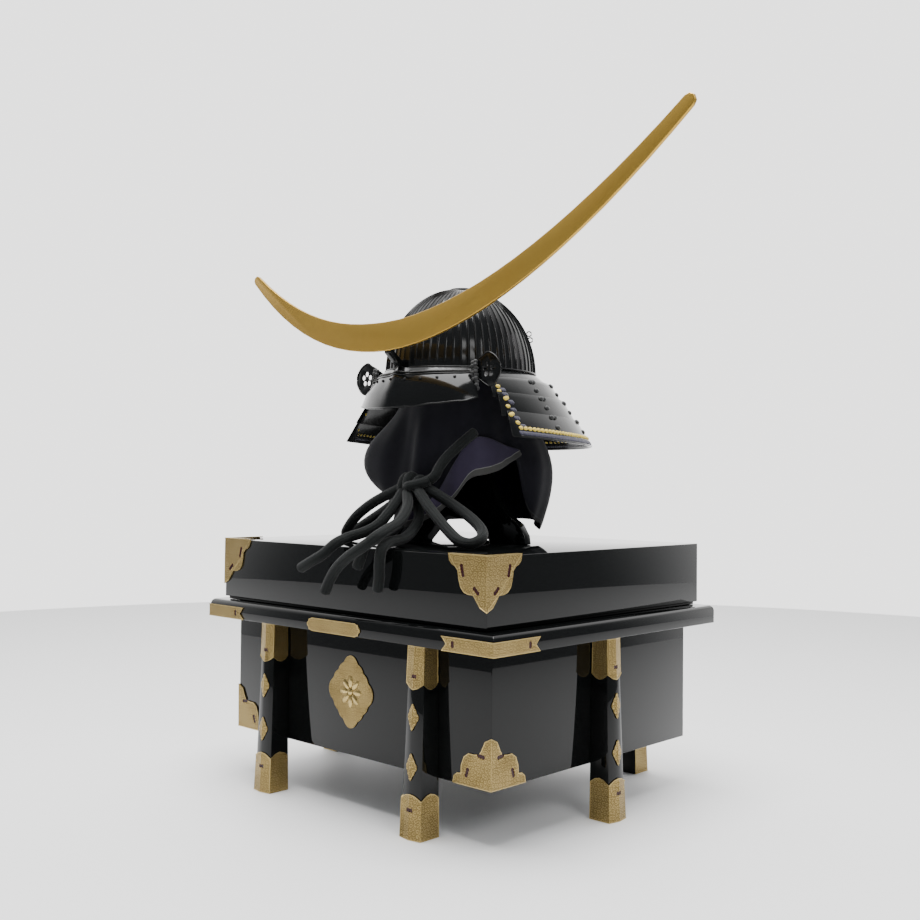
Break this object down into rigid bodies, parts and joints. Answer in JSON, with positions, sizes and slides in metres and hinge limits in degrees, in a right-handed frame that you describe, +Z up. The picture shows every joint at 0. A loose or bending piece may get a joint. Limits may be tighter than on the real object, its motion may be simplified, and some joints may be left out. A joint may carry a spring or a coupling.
{
  "type": "samurai helmet on stand and lacquered chest",
  "caption": "Ribbed samurai helmet with a long crescent crest, lame neck guard and chin cord, on a crossed-board stand set on a legged black chest with gilt fittings.",
  "frame": {"origin": "on the floor under the middle of the object's box", "axes": "+Z up, -Y out of the helmet's front, +X towards the wearer's left"},
  "size_m": [0.791, 0.5135, 0.858],
  "materials": {
    "black_lacquer": "deep black gloss lacquer",
    "gilt_brass": "engraved gilt, worn satin",
    "lacquered_iron": "black gloss lacquer",
    "crest_gold": "satin gold",
    "dark_cloth": "matt woven",
    "purple_lining": "soft purple silk",
    "dark_cord": "fine braid"
  },
  "bodies": {
    "root": {"body_corner_left": "gilt_brass", "body_corner_right": "gilt_brass", "cap_foot_back_left": "gilt_brass", "cap_foot_back_right": "gilt_brass", "cap_foot_front_left": "gilt_brass", "cap_foot_front_right": "gilt_brass", "cap_foot_side_left": "gilt_brass", "cap_foot_side_right": "gilt_brass", "cap_top_back_left": "gilt_brass", "cap_top_back_right": "gilt_brass", "cap_top_front_left": "gilt_brass", "cap_top_front_right": "gilt_brass", "cap_top_side_left": "gilt_brass", "cap_top_side_right": "gilt_brass", "chest_body": "black_lacquer", "chest_ledge": "black_lacquer", "chest_lid": "black_lacquer", "cloth": "dark_cloth", "cloth_turned_corner": "purple_lining", "cord_knot": "dark_cord", "cord_loop_left": "dark_cord", "cord_loop_right": "dark_cord", "cord_strand": "dark_cord", "cord_tail_front": "dark_cord", "cord_tail_inner": "dark_cord", "cord_tail_outer": "dark_cord", "cord_tail_short": "dark_cord", "crest": "crest_gold", "crest_prong": "lacquered_iron", "helmet_bowl": "lacquered_iron", "ledge_plaque": "gilt_brass", "ledge_strip_left": "gilt_brass", "ledge_strip_right": "gilt_brass", "leg_back_left": "black_lacquer", "leg_back_right": "black_lacquer", "leg_front_left": "black_lacquer", "leg_front_right": "black_lacquer", "leg_side_left": "black_lacquer", "leg_side_right": "black_lacquer", "lid_corner_left": "gilt_brass", "lid_corner_right": "gilt_brass", "neck_lame_1": "lacquered_iron", "neck_lame_2": "lacquered_iron", "neck_lame_3": "lacquered_iron", "neck_lame_4": "lacquered_iron", "stand_board_across": "black_lacquer", "stand_board_along": "black_lacquer", "turnback_left": "lacquered_iron", "turnback_right": "lacquered_iron", "visor": "lacquered_iron"}
  },
  "joints": []
}
